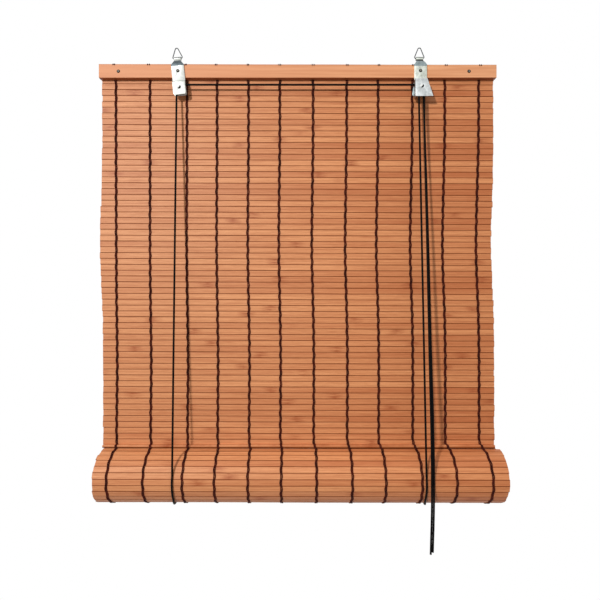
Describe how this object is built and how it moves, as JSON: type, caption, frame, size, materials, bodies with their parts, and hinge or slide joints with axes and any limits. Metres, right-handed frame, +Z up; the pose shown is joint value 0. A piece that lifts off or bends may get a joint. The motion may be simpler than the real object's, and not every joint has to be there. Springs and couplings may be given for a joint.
{
  "type": "bamboo roll up blind",
  "caption": "Window blind of flat bamboo slats tied by dark warp threads, hung from a wooden headrail by two wire rings, its lower length rolled up in two cord slings with a cord lock.",
  "frame": {"origin": "midway between the two hanging rings, at the inside of their tops, where the hooks bear", "axes": "+X to the viewer's right along the headrail, +Y to the wall, +Z up"},
  "size_m": [0.605, 0.0865, 0.7494],
  "materials": {
    "batten_wood": "bare wood",
    "bamboo_slats": "stained bamboo skin, low sheen",
    "warp_thread": "twisted cotton thread",
    "zinc_sheet": "zinc plated sheet",
    "bright_steel": "bright plated steel",
    "black_cord": "braided polyester cord"
  },
  "bodies": {
    "headrail": {"front_batten": "batten_wood", "back_batten": "batten_wood", "batten_nails": "bright_steel", "bracket_nails": "bright_steel", "left_bracket": "zinc_sheet", "right_bracket": "zinc_sheet", "left_axle": "bright_steel", "lock_axle": "bright_steel", "lock_cover": "zinc_sheet", "pawl_pin": "bright_steel", "slat_mat": "bamboo_slats", "mat_warps": "warp_thread", "warp_tufts": "warp_thread", "left_lift_front": "black_cord", "right_lift_front": "black_cord", "left_lift_back": "black_cord", "right_lift_back": "black_cord", "cross_cord": "black_cord", "lock_cord": "black_cord", "cord_staples": "bright_steel", "cord_knots": "black_cord", "pull_rear_upper": "black_cord", "pull_front_upper": "black_cord"},
    "left_ring": {"left_ring": "bright_steel"},
    "right_ring": {"right_ring": "bright_steel"},
    "left_pulley": {"left_pulley": "bright_steel"},
    "lock_pulley": {"lock_pulley": "bright_steel"},
    "lock_pawl": {"lock_pawl": "bright_steel"},
    "sling": {"left_sling": "black_cord", "right_sling": "black_cord", "mat_bend": "bamboo_slats"},
    "roll": {"mat_roll": "bamboo_slats", "roll_warps": "warp_thread", "bottom_batten_front": "batten_wood", "bottom_batten_back": "batten_wood"},
    "pull": {"pull_rear_lower": "black_cord", "pull_front_lower": "black_cord"}
  },
  "joints": [
    {"name": "left_ring_swing", "type": "hinge", "parent": "headrail", "child": "left_ring", "pos_m": [-0.18362, 0, -0.01527], "axis": [0.9945, 0, 0.1045], "range_deg": [-75, 75]},
    {"name": "right_ring_swing", "type": "hinge", "parent": "headrail", "child": "right_ring", "pos_m": [0.186, 0, -0.015], "axis": [1, 0, 0], "range_deg": [-75, 75]},
    {"name": "left_pulley_spin", "type": "hinge", "parent": "headrail", "child": "left_pulley", "pos_m": [-0.1785, -0.00925, -0.064], "axis": [0, 1, 0], "continuous": true},
    {"name": "lock_pulley_spin", "type": "hinge", "parent": "headrail", "child": "lock_pulley", "pos_m": [0.186, -0.01098, -0.064], "axis": [0, 1, 0], "continuous": true},
    {"name": "lock_pawl_swing", "type": "hinge", "parent": "headrail", "child": "lock_pawl", "pos_m": [0.1956, -0.01098, -0.069], "axis": [0, -1, 0], "range_deg": [0, 25]},
    {"name": "roll_lift", "type": "slide", "parent": "headrail", "child": "sling", "axis": [0, 0, 1], "range_m": [0, 0.46], "deforming": ["slat_mat", "mat_warps", "left_lift_front", "right_lift_front", "left_lift_back", "right_lift_back", "pull_rear_upper", "pull_front_upper"]},
    {"name": "roll_spin", "type": "hinge", "parent": "sling", "child": "roll", "pos_m": [0.0032, -0.0045, -0.64872], "axis": [1, 0, 0], "range_deg": [0, 720]},
    {"name": "pull_slide", "type": "slide", "parent": "sling", "child": "pull", "axis": [0, 0, -1], "range_m": [0, 1.38]}
  ],
  "couplings": [
    {"joint": "roll_spin", "follows": "roll_lift", "rad_per_m": 27.318},
    {"joint": "pull_slide", "follows": "roll_lift", "ratio": 3},
    {"joint": "left_pulley_spin", "follows": "roll_lift", "rad_per_m": 476.19},
    {"joint": "lock_pulley_spin", "follows": "roll_lift", "rad_per_m": 476.19}
  ]
}
